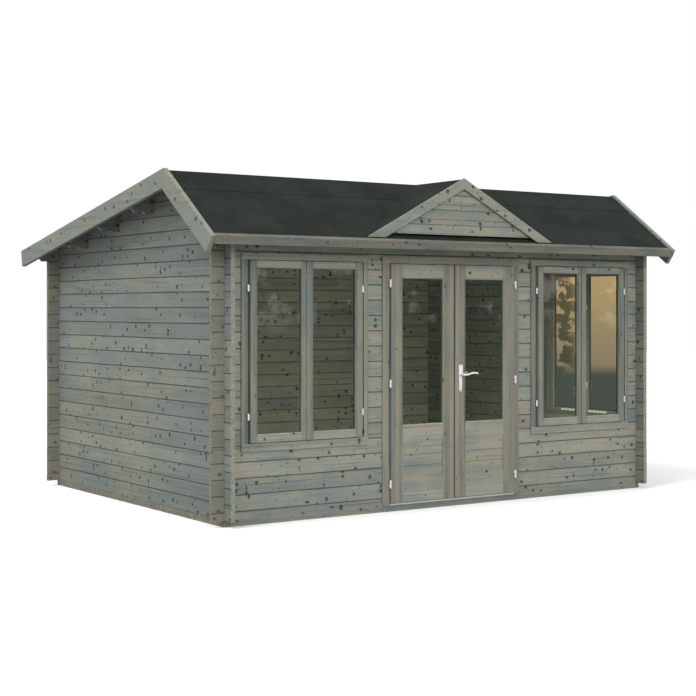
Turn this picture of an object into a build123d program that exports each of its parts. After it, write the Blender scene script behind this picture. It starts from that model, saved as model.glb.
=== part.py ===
# Garden house of machined logs: steep short front slope, long shallow rear slope,
# a small gable over the front eave, glazed double doors and three double windows.
# Millimetres. +X runs right along the front, +Y to the back, +Z up.
# The origin is the centre of the whole footprint, eaves included, on the ground.
from build123d import *
import os
from math import cos, radians, sin, tan

# Walls and base
wall_length = 3970
wall_depth = 3020
log_thickness = 34
course = 114
groove = 5
log_end = 98
beam_height = 45
beam_width = 60
beam_groove = 3
joist_width = 45
joist_pitch = 480
floor_thickness = 18
floor_groove = 3

# Main roof, measured to the top of its boards; the eave height is over the front wall
eave_height = 2147
ridge_setback = 516
front_pitch = 34.9
rear_pitch = 10.2
front_overhang = 223
rear_overhang = 297
side_overhang = 215
roof_board = 18
felt = 3
ridge_lap = 255
purlin_thickness = 40
purlin_depth = 135
rear_purlins = 3
end_cut = 36
end_cove = 50
cove_depth = 10
barge_thickness = 32
barge_width = 136
barge_rise = 19
mitre_gap = 0.4
fascia_thickness = 28
fascia_height = 56

# Small front gable
gable_pitch = 28.06
gable_reach = 157
gable_board_width = 72
gable_board_thickness = 20
gable_board_rise = 6
gable_foot_clear = 5
panel_thickness = 18
panel_clear = 25

# Doors
door_half_width = 595
door_drop = 287
door_sill = 59
jamb_width = 62
head_width = 56
jamb_in_wall = 25
frame_proud = 12
frame_chamfer = 2
stop_depth = 20
leaf_clearance = 5
leaf_gap = 10
leaf_thickness = 40
leaf_proud = 28
leaf_stile = 105
leaf_rail_top = 110
leaf_rail_middle = 112
leaf_rail_bottom = 185
leaf_glass_bottom = 648
leaf_moulding = 33
panel_recess = 6
panel_board = 85
stile_groove_inset = 30
stile_groove = 3
glass_thickness = 4
glass_bite = 8
bead_width = 12
bead_proud = 3
bead_slope = 8
strip_lead = 2
strip_width = 37
strip_thickness = 10
strip_chamfer = 3

# Lock, lever and hinges of the doors
plate_centre = 59
plate_width = 38
plate_foot_width = 24
plate_corner = 8
plate_below = 134
plate_above = 73
plate_thickness = 3
rose_height = 80
lever_height = 1014
lever_reach = 132
lever_bends = (0, 0.14, 0.36, 0.64, 0.88, 1)
lever_bend_radius = 40
lever_radius = 7
lever_dip = 5
lever_rise = 9
boss_radius = 9
boss_reach = 40
turning_gap = 0.3
hinge_radius = 7
hinge_half = 28
hinge_tab = 8
hinge_end = 150
hinge_offset = 8
hinge_outset = 8

# Windows
window_half_width = 533
window_height = 1401
window_drop = 233
window_offset = 664
window_side_board = 38
window_top_board = 49
window_bottom_board = 59
window_lining = 35
window_reveal = 59
window_stop = 14
sash_gap = 5
sash_proud = 26
sash_depth = 38
sash_stile = 57
sash_meeting_stile = 48
sash_top_rail = 53
sash_bottom_rail = 60
sash_joint = 3
sash_strip_lead = 10
sash_strip_width = 44
sash_strip_thickness = 8
window_hinge_radius = 6
window_hinge_length = 50
window_hinge_outset = 13
window_hinge_end = 190
window_handle_end = 325
window_handle_length = 88
window_handle_width = 10
window_handle_reach = 30
stay_length = 240
stay_width = 12
stay_thickness = 4

# Places worked out from the sizes
half_length = wall_length / 2
total_depth = front_overhang + wall_depth + rear_overhang
front_y = front_overhang - total_depth / 2
back_y = front_y + wall_depth
eave_y = front_y - front_overhang
rear_eave_y = back_y + rear_overhang
ridge_y = front_y + ridge_setback
roof_half = half_length + side_overhang - barge_thickness
front_rise = tan(radians(front_pitch))
rear_rise = tan(radians(rear_pitch))
front_slant = cos(radians(front_pitch))
rear_slant = cos(radians(rear_pitch))
ridge_height = eave_height + ridge_setback * front_rise
door_head = eave_height - door_drop
window_top = eave_height - window_drop
window_bottom = window_top - window_height
floor_top = beam_height + floor_thickness

# Cutting shapes reach this far past what they cut
margin = log_end + side_overhang
sky = ridge_height + margin


def block(x0, x1, y0, y1, z0, z1):
    return Pos((x0 + x1) / 2, (y0 + y1) / 2, (z0 + z1) / 2) * Box(x1 - x0, y1 - y0, z1 - z0)


def prism_x(points, x0, x1):
    outline = Polyline(*[(x0, y, z) for y, z in points], close=True)
    return extrude(make_face(outline), amount=x1 - x0, dir=(1, 0, 0))


def prism_y(points, y0, y1):
    outline = Polyline(*[(x, y0, z) for x, z in points], close=True)
    return extrude(make_face(outline), amount=y1 - y0, dir=(0, 1, 0))


def prism_z(points, z0, z1):
    outline = Polyline(*[(x, y, z0) for x, y in points], close=True)
    return extrude(make_face(outline), amount=z1 - z0, dir=(0, 0, 1))


# Height of the roof at y, on a surface lifted square to the slope above the boards' top
def front_surface(y, lift):
    return ridge_height - (ridge_y - y) * front_rise + lift / front_slant


def rear_surface(y, lift):
    return ridge_height - (y - ridge_y) * rear_rise + lift / rear_slant


def ridge_point(lift):
    y = ridge_y - lift * (1 / front_slant - 1 / rear_slant) / (front_rise + rear_rise)
    return y, front_surface(y, lift)


def front_layer(foot_y, low, high, x0, x1):
    points = [(foot_y, front_surface(foot_y, low)), ridge_point(low), ridge_point(high),
              (foot_y, front_surface(foot_y, high))]
    return prism_x(points, x0, x1)


def rear_layer(foot_y, low, high, x0, x1):
    points = [(foot_y, rear_surface(foot_y, low)), ridge_point(low), ridge_point(high),
              (foot_y, rear_surface(foot_y, high))]
    return prism_x(points, x0, x1)


# Everything above the underside of the roof boards, to trim what stands under the roof
def above_boards():
    near = eave_y - margin
    far = rear_eave_y + margin
    points = [(near, front_surface(near, -roof_board)), ridge_point(-roof_board),
              (far, rear_surface(far, -roof_board)), (far, sky), (near, sky)]
    return prism_x(points, -half_length - margin, half_length + margin)


# Section of a wall of logs, outer face at 0, with a V at each joint on both faces
def log_section(top, first_joint):
    outer = [(0, beam_height)]
    z = first_joint
    while z < top - groove:
        outer += [(0, z - groove), (groove, z), (0, z + groove)]
        z += course
    outer.append((0, top))
    inner = [(log_thickness - u, z) for u, z in reversed(outer)]
    return outer + inner


# The logs along X start with a half log, so the two sets of joints are half a course apart
long_joint = beam_height + course / 2
side_joint = beam_height + course
courses = int((sky - beam_height) / course)


# Heights at which the logs along X, or along Y, fill a corner crossing
def long_bands():
    bands = [(beam_height, beam_height + course / 4)]
    for k in range(courses):
        start = long_joint + course / 4 + k * course
        bands.append((start, start + course / 2))
    return bands


def side_bands():
    starts = [beam_height + course / 4 + k * course for k in range(courses)]
    return [(start, start + course / 2) for start in starts]


def corner_cuts(bands, top):
    cuts = []
    for x0 in (-half_length, half_length - log_thickness):
        for y0 in (front_y, back_y - log_thickness):
            for low, high in bands:
                if low < top:
                    cuts.append(block(x0, x0 + log_thickness, y0, y0 + log_thickness, low, high))
    return cuts


# Stretch of a log out to the bargeboard, its lower corner cut off at a slant
def shaped_end(x0, x1, y0, y1, low, high):
    inward = 1 if x1 > x0 else -1
    points = [(x0, low), (x1 - inward * end_cut, low), (x1, low + end_cut), (x1, high), (x0, high)]
    return prism_y(points, y0, y1)


def long_wall(outer_y, inward, top):
    section = log_section(top, long_joint)
    points = [(outer_y + inward * u, z) for u, z in section]
    wall = prism_x(points, -half_length - log_end, half_length + log_end)
    y0, y1 = sorted((outer_y, outer_y + inward * log_thickness))
    top_log = int((top - roof_board - course / 3 - long_joint) / course)
    for side in (-1, 1):
        start = side * (half_length + log_end)
        wall += shaped_end(start, side * roof_half, y0, y1, long_joint + top_log * course, top)
    wall -= corner_cuts(side_bands(), top)
    return wall - above_boards()


def window_opening():
    half = window_half_width - window_lining
    return block(-half, half, -margin, margin, window_bottom + window_lining,
                 window_top - window_lining)


def at_front(x):
    return Pos(x, front_y, 0)


def at_right_wall(y):
    return Pos(half_length, y, 0) * Rot(0, 0, 90)


window_places = {
    "window_left": at_front(-half_length + window_offset),
    "window_right": at_front(half_length - window_offset),
    "window_side": at_right_wall(front_y + window_offset),
}


# Purlin under the boards, its ends cut off at a slant and hollowed beside the cut
def purlin(y, low):
    y0 = y - purlin_thickness / 2
    y1 = y + purlin_thickness / 2
    points = [(-roof_half, sky), (-roof_half, low + end_cut), (-roof_half + end_cut, low),
              (roof_half - end_cut, low), (roof_half, low + end_cut), (roof_half, sky)]
    beam = prism_y(points, y0, y1)
    for side in (-1, 1):
        x = side * (roof_half - end_cut - end_cove)
        hollow = Pos(x, y, low) * Rot(90, 0, 0) * Cylinder(end_cove / 2, purlin_thickness)
        beam -= hollow & block(x - end_cove, x + end_cove, y0, y1, low, low + cove_depth)
    return beam - above_boards()


def purlins():
    made = {"ridge_purlin": purlin(ridge_y, ridge_point(-roof_board)[1] - purlin_depth)}
    spacing = (back_y - log_thickness / 2 - ridge_y) / (rear_purlins + 1)
    for k in range(rear_purlins):
        y = ridge_y + (k + 1) * spacing
        made[f"rear_purlin_{k + 1}"] = purlin(y, rear_surface(y, -roof_board) - purlin_depth)
    return made


# Perimeter beams with a groove all round outside, and joists between front and back
def foundation():
    frame = block(-half_length, half_length, front_y, back_y, 0, beam_height)
    clear = half_length - beam_width
    frame -= block(-clear, clear, front_y + beam_width, back_y - beam_width, 0, beam_height)
    low = beam_height / 2 - beam_groove / 2
    high = low + beam_groove
    inside = block(-half_length + beam_groove, half_length - beam_groove, front_y + beam_groove,
                   back_y - beam_groove, low, high)
    frame -= block(-half_length, half_length, front_y, back_y, low, high) - inside
    count = int(2 * clear / joist_pitch)
    for k in range(1, count + 1):
        x = -clear + 2 * clear * k / (count + 1)
        frame += block(x - joist_width / 2, x + joist_width / 2, front_y + beam_width,
                       back_y - beam_width, 0, beam_height)
    return frame


# Boards laid along X, with a V at each joint on top
def floor_boards():
    half = half_length - log_thickness
    y0 = front_y + log_thickness
    y1 = back_y - log_thickness
    points = [(y0, beam_height), (y0, floor_top)]
    y = y0 + course
    while y < y1 - floor_groove:
        points += [(y - floor_groove, floor_top), (y, floor_top - floor_groove),
                   (y + floor_groove, floor_top)]
        y += course
    points += [(y1, floor_top), (y1, beam_height)]
    return prism_x(points, -half, half)


def walls(beams):
    front = long_wall(front_y, 1, front_surface(front_y + log_thickness, 0))
    for name in ("window_left", "window_right"):
        front -= window_places[name] * window_opening()
    gap = door_half_width + jamb_in_wall
    shallow = front_y - margin
    deep = front_y + margin
    front -= block(-gap, gap, shallow, deep, 0, door_head + jamb_in_wall)
    made = {
        "front_wall_left": front & block(-half_length - margin, -gap, shallow, deep, 0, sky),
        "front_wall_right": front & block(gap, half_length + margin, shallow, deep, 0, sky),
        "front_wall_over_door": front & block(-gap, gap, shallow, deep, 0, sky),
        "back_wall": long_wall(back_y, -1, rear_surface(back_y - log_thickness, 0)),
    }
    section = log_section(sky, side_joint)
    for name, side in (("left_wall", -1), ("right_wall", 1)):
        points = [(side * (half_length - u), z) for u, z in section]
        wall = prism_y(points, front_y - log_end, back_y + log_end)
        wall -= corner_cuts(long_bands(), sky)
        wall -= above_boards()
        wall -= list(beams.values())
        if name == "right_wall":
            wall -= window_places["window_side"] * window_opening()
        made[name] = wall
    return made


def roof():
    foot = eave_y + fascia_thickness
    rear_foot = rear_eave_y - fascia_thickness
    lap_front = ridge_y - ridge_lap * front_slant
    lap_rear = ridge_y + ridge_lap * rear_slant
    ridge_felt = front_layer(lap_front, felt, 2 * felt, -roof_half, roof_half)
    ridge_felt += rear_layer(lap_rear, felt, 2 * felt, -roof_half, roof_half)
    return {
        "roof_boards_front": front_layer(foot, -roof_board, 0, -roof_half, roof_half),
        "roof_boards_rear": rear_layer(rear_foot, -roof_board, 0, -roof_half, roof_half),
        "roof_felt_front": front_layer(foot, 0, felt, -roof_half, roof_half),
        "roof_felt_rear": rear_layer(rear_foot, 0, felt, -roof_half, roof_half),
        "roof_felt_ridge": ridge_felt - below_small_gable(),
    }


def fascias():
    top = front_surface(eave_y, barge_rise)
    back = eave_y + fascia_thickness
    front = [(eave_y, top), (back, front_surface(back, barge_rise)), (back, top - fascia_height),
             (eave_y, top - fascia_height)]
    top = rear_surface(rear_eave_y, barge_rise)
    near = rear_eave_y - fascia_thickness
    rear = [(rear_eave_y, top), (near, rear_surface(near, barge_rise)), (near, top - fascia_height),
            (rear_eave_y, top - fascia_height)]
    return {
        "fascia_front": prism_x(front, -roof_half, roof_half),
        "fascia_rear": prism_x(rear, -roof_half, roof_half),
    }


# Each end has two boards that meet in a mitre at the ridge, with feet cut square to the slope
def bargeboards(side):
    x0, x1 = sorted((side * roof_half, side * (roof_half + barge_thickness)))
    low = barge_rise - barge_width
    half_gap = mitre_gap / 2
    upper = ridge_point(barge_rise)
    lower = ridge_point(low)
    foot = (eave_y, front_surface(eave_y, barge_rise))
    heel = (foot[0] + barge_width * sin(radians(front_pitch)), foot[1] - barge_width * front_slant)
    front = prism_x([foot, heel, (lower[0] - half_gap, lower[1]), (upper[0] - half_gap, upper[1])],
                    x0, x1)
    foot = (rear_eave_y, rear_surface(rear_eave_y, barge_rise))
    heel = (foot[0] - barge_width * sin(radians(rear_pitch)), foot[1] - barge_width * rear_slant)
    rear = prism_x([foot, heel, (lower[0] + half_gap, lower[1]), (upper[0] + half_gap, upper[1])],
                   x0, x1)
    return Compound(children=[front, rear])


# Small gable: its ridge is level with the main ridge felt, and its slopes run down into valleys
gable_rise = tan(radians(gable_pitch))
gable_slant = cos(radians(gable_pitch))
gable_end, gable_ridge = ridge_point(felt)
gable_front = front_y - gable_reach
gable_back = gable_front + gable_board_thickness
gable_half = (gable_ridge - front_surface(gable_front, felt)) / gable_rise + margin


def gable_chevron(drop_high, drop_low, y0, y1):
    high = gable_ridge - drop_high / gable_slant
    low = gable_ridge - drop_low / gable_slant
    fall = gable_half * gable_rise
    points = [(-gable_half, high - fall), (0, high), (gable_half, high - fall),
              (gable_half, low - fall), (0, low), (-gable_half, low - fall)]
    return prism_y(points, y0, y1)


def below_small_gable():
    fall = gable_half * gable_rise
    points = [(-gable_half, gable_ridge - fall), (0, gable_ridge), (gable_half, gable_ridge - fall)]
    return prism_y(points, gable_front, ridge_y)


def below_felt():
    near = eave_y - margin
    far = ridge_y + margin
    points = [(near, front_surface(near, felt)), ridge_point(felt), (far, 0), (near, 0)]
    return prism_x(points, -gable_half, gable_half)


def small_gable():
    under = felt + roof_board
    boards = gable_chevron(felt, under, gable_back, gable_end) - below_felt()
    covering = gable_chevron(0, felt, gable_back, gable_end) - below_felt()
    apex = gable_ridge - under / gable_slant
    panel_bottom = front_surface(gable_back, felt) + panel_clear
    half = (apex - panel_bottom) / gable_rise
    panel = prism_y([(-half, panel_bottom), (half, panel_bottom), (0, apex)], gable_back,
                    gable_back + panel_thickness)
    z = panel_bottom + course
    while z < apex - course / 2:
        notch = [(gable_back, z - groove), (gable_back + groove, z), (gable_back, z + groove)]
        panel -= prism_x(notch, -half, half)
        z += course
    tip = gable_ridge + gable_board_rise
    foot = front_surface(gable_front, felt) + gable_foot_clear
    outer = (tip - foot) / gable_rise
    inner = outer - gable_board_width / sin(radians(gable_pitch))
    inner_tip = tip - gable_board_width / gable_slant
    boards_in_front = []
    for side in (-1, 1):
        mitre = side * mitre_gap / 2
        points = [(side * outer, foot), (side * inner, foot), (mitre, inner_tip), (mitre, tip)]
        boards_in_front.append(prism_y(points, gable_front, gable_back) - below_felt())
    return {
        "small_gable_panel": panel,
        "small_gable_boards": boards,
        "small_gable_felt": covering,
        "small_gable_bargeboards": Compound(children=boards_in_front),
    }


# Four boards round an opening in a wall, from depth y0 to y1
def surround(outer, inner, y0, y1):
    half, bottom, top = outer
    clear_half, clear_bottom, clear_top = inner
    opening = block(-clear_half, clear_half, y0, y1, clear_bottom, clear_top)
    return block(-half, half, y0, y1, bottom, top) - opening


def with_front_chamfer(boards):
    return chamfer(boards.faces().sort_by(Axis.Y)[0].outer_wire().edges(), frame_chamfer)


def window_frame():
    half, low, high = window_half_width, window_bottom, window_top
    whole = (half, low, high)
    seen = (half - window_side_board, low + window_bottom_board, high - window_top_board)
    buried = (half - window_lining, low + window_lining, high - window_lining)
    reveal = (half - window_reveal, low + window_bottom_board, high - window_top_board)
    rebate = (reveal[0] - window_stop, reveal[1] + window_stop, reveal[2] - window_stop)
    stop = sash_depth - sash_proud
    frame = with_front_chamfer(surround(whole, seen, -frame_proud, 0))
    frame += surround(buried, reveal, 0, stop)
    frame += surround(buried, rebate, stop, log_thickness)
    return frame + surround(whole, rebate, log_thickness, log_thickness + frame_proud)


# Slope round a glazed opening, from the face at y inwards
def glazing_slope(x0, x1, z0, z1, y, inward):
    wide = Plane(origin=((x0 + x1) / 2, y, (z0 + z1) / 2), x_dir=(1, 0, 0), z_dir=(0, inward, 0))
    near = wide * Rectangle(x1 - x0 + 2 * bead_slope, z1 - z0 + 2 * bead_slope)
    far = wide.offset(bead_slope) * Rectangle(x1 - x0, z1 - z0)
    return loft([near.face(), far.face()])


# Leaf or sash with one pane, and a raised bead round the glass on both faces
def glazed_leaf(x0, x1, z0, z1, y0, y1, stiles, rails):
    left, right = x0 + stiles[0], x1 - stiles[1]
    low, high = z0 + rails[0], z1 - rails[1]
    front = y0 - bead_proud
    back = y1 + bead_proud
    leaf = block(x0, x1, y0, y1, z0, z1)
    leaf += block(left - bead_width, right + bead_width, front, back, low - bead_width,
                  high + bead_width)
    leaf -= block(left, right, front, back, low, high)
    leaf -= glazing_slope(left, right, low, high, front, 1)
    leaf -= glazing_slope(left, right, low, high, back, -1)
    middle = (y0 + y1) / 2
    pane = block(left - glass_bite, right + glass_bite, middle - glass_thickness / 2,
                 middle + glass_thickness / 2, low - glass_bite, high + glass_bite)
    return leaf - pane, pane


# Barrel beside the sash, with a wing from the sash's edge out over the frame
def window_hinge(side, outer, z):
    x = side * (outer + window_hinge_outset)
    y = -frame_proud - window_hinge_radius
    half = window_hinge_length / 2
    near, far = sorted((side * outer, side * (outer + 3 * window_hinge_outset)))
    wing = block(near, far, y, -frame_proud, z - half, z + half)
    return Pos(x, y, z) * Cylinder(window_hinge_radius, window_hinge_length) + wing


# Handle upright on the meeting stile inside, on a small foot
def window_handle(z, back):
    x = -sash_meeting_stile / 2
    width = window_handle_width
    y = back + window_handle_reach
    half = window_handle_length / 2
    grip = block(x - width / 2, x + width / 2, y - width, y, z - half, z + half)
    neck = block(x - width / 2, x + width / 2, back, y - width / 2, z - width / 2, z + width / 2)
    foot = block(x - width, x + width, back, back + width / 2, z - 2 * width, z + 2 * width)
    return grip + neck + foot


# Flat stay lying along the bottom rail inside, on two pegs
def window_stay(side, back, z):
    x = side * (sash_meeting_stile + stay_length / 2)
    y = back + stay_thickness
    half = stay_length / 2
    stay = block(x - half, x + half, y, y + stay_thickness, z - stay_width / 2, z + stay_width / 2)
    for end in (-1, 1):
        peg_x = x + end * (half - stay_width)
        stay += block(peg_x - stay_width / 2, peg_x + stay_width / 2, back, y, z - stay_width / 2,
                      z + stay_width / 2)
    return stay


def window_parts():
    outer = window_half_width - window_reveal - sash_gap
    low = window_bottom + window_bottom_board + sash_gap
    high = window_top - window_top_board - sash_gap
    front = -sash_proud
    back = front + sash_depth
    sashes = []
    panes = []
    fittings = []
    for side in (-1, 1):
        x0, x1 = sorted((side * outer, side * sash_joint / 2))
        stiles = (sash_stile, sash_meeting_stile) if side < 0 else (sash_meeting_stile, sash_stile)
        sash, pane = glazed_leaf(x0, x1, low, high, front, back, stiles,
                                 (sash_bottom_rail, sash_top_rail))
        if side > 0:
            sash += block(-sash_strip_lead, sash_strip_width - sash_strip_lead,
                          front - sash_strip_thickness, front, low, high)
        sashes.append(sash)
        panes.append(pane)
        for z in (low + window_hinge_end, high - window_hinge_end):
            fittings.append(window_hinge(side, outer, z))
        fittings.append(window_stay(side, back, low + sash_bottom_rail / 2))
    for z in (low + window_handle_end, high - window_handle_end):
        fittings.append(window_handle(z, back))
    return sashes, panes, fittings


def windows():
    sashes, panes, fittings = window_parts()
    frame = window_frame()
    made = {}
    placed = {"window_sashes": [], "window_glass": [], "window_fittings": []}
    for name, place in window_places.items():
        made[name + "_frame"] = place * frame
        placed["window_sashes"] += [place * sash for sash in sashes]
        placed["window_glass"] += [place * pane for pane in panes]
        placed["window_fittings"] += [place * fitting for fitting in fittings]
    for name, solids in placed.items():
        made[name] = Compound(children=solids)
    return made


# Door frame: flat boards on both faces, a lining in the wall and a stop behind the leaves
def door_frame():
    half = door_half_width
    outer = half + jamb_width
    lining = half + jamb_in_wall
    head = door_head + head_width
    y = front_y
    back = y + log_thickness
    inside = back + frame_proud
    stop = y - leaf_proud + leaf_thickness + leaf_clearance
    opening = (half, 0, door_head)
    front = surround((outer, beam_height, head), opening, y - frame_proud, y)
    frame = chamfer(front.faces().sort_by(Axis.Y)[0].edges().filter_by(Axis.Z), frame_chamfer)
    frame += surround((lining, beam_height, door_head + jamb_in_wall), opening, y, back)
    frame += surround((outer, floor_top, head), opening, back, inside)
    clear = (half - stop_depth, 0, door_head - stop_depth)
    return frame + surround((half, floor_top, door_head), clear, stop, inside)


# Metal threshold with a nose that stands out over a shadow gap
def threshold():
    half = door_half_width
    y = front_y - frame_proud
    middle = (beam_height + door_sill) / 2
    nose = block(-half, half, y - frame_proud, y, middle, door_sill)
    return block(-half, half, y, front_y + log_thickness, beam_height, door_sill) + nose


leaf_front = front_y - leaf_proud
leaf_back = leaf_front + leaf_thickness
leaf_outer = door_half_width - leaf_clearance
leaf_inner = leaf_gap / 2
leaf_bottom = door_sill + leaf_clearance
leaf_top = door_head - leaf_clearance
hinge_x = door_half_width + hinge_outset
hinge_y = leaf_front - hinge_offset
lever_y = (leaf_front - 2 * plate_thickness - boss_reach, leaf_back + 2 * plate_thickness + boss_reach)


# Recess under the middle rail on one face: a moulding at its head, then V-jointed boards
def panel_cut(x0, x1, face, inward):
    top = leaf_glass_bottom - leaf_rail_middle
    low = leaf_bottom + leaf_rail_bottom
    floor = face + inward * panel_recess
    y0, y1 = sorted((face, floor))
    cut = block(x0, x1, y0, y1, low, top - leaf_moulding)
    slope = [(face, top), (floor, top - leaf_moulding), (face, top - leaf_moulding)]
    cut += prism_x(slope, x0, x1)
    z = top - leaf_moulding - panel_board
    while z > low + groove:
        notch = [(floor, z - groove), (floor + inward * groove, z), (floor, z + groove)]
        cut += prism_x(notch, x0, x1)
        z -= panel_board
    return cut


def left_leaf():
    leaf, pane = glazed_leaf(-leaf_outer, -leaf_inner, leaf_bottom, leaf_top, leaf_front, leaf_back,
                             (leaf_stile, leaf_stile),
                             (leaf_glass_bottom - leaf_bottom, leaf_rail_top))
    x0 = -leaf_outer + leaf_stile
    x1 = -leaf_inner - leaf_stile
    line = -leaf_outer + stile_groove_inset
    for face, inward in ((leaf_front, 1), (leaf_back, -1)):
        leaf -= panel_cut(x0, x1, face, inward)
        notch = [(line - stile_groove, face), (line, face + inward * stile_groove),
                 (line + stile_groove, face)]
        leaf -= prism_z(notch, leaf_bottom, leaf_top)
    return leaf, pane


def hinge_heights():
    low = door_sill + hinge_end
    high = door_head - hinge_end
    return low, (low + high) / 2, high


def leaf_hinges():
    halves = []
    for z in hinge_heights():
        low = z + turning_gap
        high = low + hinge_half
        upper = Pos(-hinge_x, hinge_y, (low + high) / 2) * Cylinder(hinge_radius, hinge_half)
        upper += block(-hinge_x, -leaf_outer + hinge_tab, hinge_y, leaf_front, low, high)
        halves.append(upper)
    return halves


def frame_hinges():
    halves = []
    for z in hinge_heights():
        lower = Pos(-hinge_x, hinge_y, z - hinge_half / 2) * Cylinder(hinge_radius, hinge_half)
        lower += block(-hinge_x - hinge_tab / 2, -hinge_x + hinge_tab / 2, hinge_y,
                       front_y - frame_proud, z - hinge_half, z)
        halves.append(lower)
    return halves


def spindle(y0, y1, radius):
    return Pos(plate_centre, (y0 + y1) / 2, lever_height) * Rot(90, 0, 0) * Cylinder(radius, y1 - y0)


# Tapered plate with round corners, and a thicker rose behind the lever; drawn facing -Y at 0
def lock_plate():
    high = plate_above - plate_corner
    corner_x = plate_width / 2 - plate_corner
    foot = Pos(0, plate_foot_width / 2 - plate_below) * Circle(plate_foot_width / 2)
    corners = [Pos(x, high) * Circle(plate_corner) for x in (-corner_x, corner_x)]
    outline = make_hull((foot + corners).edges())
    plate = extrude(outline, amount=plate_thickness)
    rose = Pos(0, plate_above - rose_height / 2) * RectangleRounded(plate_width, rose_height,
                                                                   plate_corner)
    plate += extrude(Pos(0, 0, plate_thickness) * rose, amount=plate_thickness)
    return Rot(90, 0, 0) * plate


def lock_plates():
    hole = spindle(lever_y[0], lever_y[1], boss_radius + turning_gap)
    front = Pos(plate_centre, leaf_front, lever_height) * lock_plate()
    back = Pos(plate_centre, leaf_back, lever_height) * mirror(lock_plate(), Plane.XZ)
    return Compound(children=[front - hole, back - hole])


# Lever bent in a slow wave, one on each face, on one spindle
def lever():
    rises = (0, -lever_dip, 0, lever_rise, lever_rise, lever_rise - lever_radius / 2)
    made = spindle(lever_y[0] - lever_radius, lever_y[1] + lever_radius, boss_radius)
    for y in lever_y:
        points = [(plate_centre + share * lever_reach, y, lever_height + rise)
                  for share, rise in zip(lever_bends, rises)]
        path = FilletPolyline(*points, radius=lever_bend_radius)
        section = Plane(origin=path @ 0, z_dir=path % 0) * Circle(lever_radius)
        made += sweep(section, path=path)
        made += Pos(*points[-1]) * Sphere(lever_radius)
    return made


def doors():
    leaf, pane = left_leaf()
    hole = spindle(lever_y[0], lever_y[1], boss_radius + turning_gap)
    strip_x = leaf_inner - strip_lead
    strip = block(strip_x, strip_x + strip_width, leaf_front - strip_thickness, leaf_front,
                  leaf_bottom, leaf_top)
    strip = chamfer(strip.faces().sort_by(Axis.Y)[0].edges().filter_by(Axis.Z), strip_chamfer)
    hinges = leaf_hinges()
    posts = frame_hinges()
    return {
        "door_frame": door_frame(),
        "door_threshold": threshold(),
        "left_leaf": leaf,
        "left_leaf_glass": pane,
        "left_leaf_hinges": Compound(children=hinges),
        "right_leaf": mirror(leaf, Plane.YZ) - hole,
        "right_leaf_glass": mirror(pane, Plane.YZ),
        "right_leaf_hinges": Compound(children=[mirror(half, Plane.YZ) for half in hinges]),
        "cover_strip": strip,
        "lock_plates": lock_plates(),
        "lever_handle": lever(),
        "frame_hinges": Compound(children=posts + [mirror(half, Plane.YZ) for half in posts]),
    }


beams = purlins()
parts = {"foundation_beams": foundation(), "floor_boards": floor_boards()}
parts.update(walls(beams))
parts.update(beams)
parts.update(roof())
parts.update(fascias())
parts["bargeboards_left"] = bargeboards(-1)
parts["bargeboards_right"] = bargeboards(1)
parts.update(small_gable())
parts.update(windows())
parts.update(doors())

os.makedirs("parts", exist_ok=True)
for name, shape in parts.items():
    export_step(shape, f"parts/{name}.step")
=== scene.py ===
import bpy
import math
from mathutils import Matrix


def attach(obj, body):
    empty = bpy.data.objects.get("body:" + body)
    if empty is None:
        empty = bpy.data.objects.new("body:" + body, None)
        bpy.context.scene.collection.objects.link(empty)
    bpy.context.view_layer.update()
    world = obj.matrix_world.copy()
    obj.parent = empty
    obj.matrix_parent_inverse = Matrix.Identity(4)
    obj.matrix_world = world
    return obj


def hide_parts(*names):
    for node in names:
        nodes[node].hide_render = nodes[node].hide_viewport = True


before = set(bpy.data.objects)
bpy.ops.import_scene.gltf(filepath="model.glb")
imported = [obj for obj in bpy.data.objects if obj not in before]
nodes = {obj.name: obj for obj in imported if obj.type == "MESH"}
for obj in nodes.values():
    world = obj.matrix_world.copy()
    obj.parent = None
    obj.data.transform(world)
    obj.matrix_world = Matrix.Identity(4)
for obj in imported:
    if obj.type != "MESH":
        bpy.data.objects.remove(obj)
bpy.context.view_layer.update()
print("frame loaded:", len(nodes), "nodes")


# shader helpers


def addNode(tree, kind, values=None, settings=None):
    node = tree.nodes.new(kind)
    for name, value in (settings or {}).items():
        setattr(node, name, value)
    for name, value in (values or {}).items():
        if isinstance(value, bpy.types.NodeSocket):
            tree.links.new(value, node.inputs[name])
        else:
            node.inputs[name].default_value = value
    return node


def maths(tree, operation, *values):
    return addNode(tree, "ShaderNodeMath", dict(enumerate(values)), {"operation": operation}).outputs[0]


def add(tree, *values):
    return maths(tree, "ADD", *values)


def minus(tree, *values):
    return maths(tree, "SUBTRACT", *values)


def times(tree, *values):
    return maths(tree, "MULTIPLY", *values)


def mixColours(tree, amount, first, second, blend="MIX"):
    node = addNode(tree, "ShaderNodeMix", settings={"data_type": "RGBA", "blend_type": blend})
    for index, value in ((0, amount), (6, first), (7, second)):   # its factor and its two colours
        if isinstance(value, bpy.types.NodeSocket):
            tree.links.new(value, node.inputs[index])
        else:
            node.inputs[index].default_value = value
    return node.outputs[2]


def ease(tree, value, start, end):   # 0 at start, 1 at end, smooth between
    node = addNode(tree, "ShaderNodeMapRange", {"Value": value, "From Min": start, "From Max": end},
                   {"interpolation_type": "SMOOTHSTEP"})
    return node.outputs[0]


def vector(tree, x, y, z=0.0):
    return addNode(tree, "ShaderNodeCombineXYZ", {"X": x, "Y": y, "Z": z}).outputs[0]


def noise(tree, place, scale, detail, roughness=0.6):
    return addNode(tree, "ShaderNodeTexNoise", {"Vector": place, "Scale": scale, "Detail": detail,
                                                "Roughness": roughness}).outputs[0]


def colour(code):   # a #rrggbb colour as the shader's linear values
    parts = [int(code[i:i + 2], 16) / 255 for i in (1, 3, 5)]
    linear = [c / 12.92 if c <= 0.04045 else ((c + 0.055) / 1.055) ** 2.4 for c in parts]
    return (*linear, 1.0)


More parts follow.
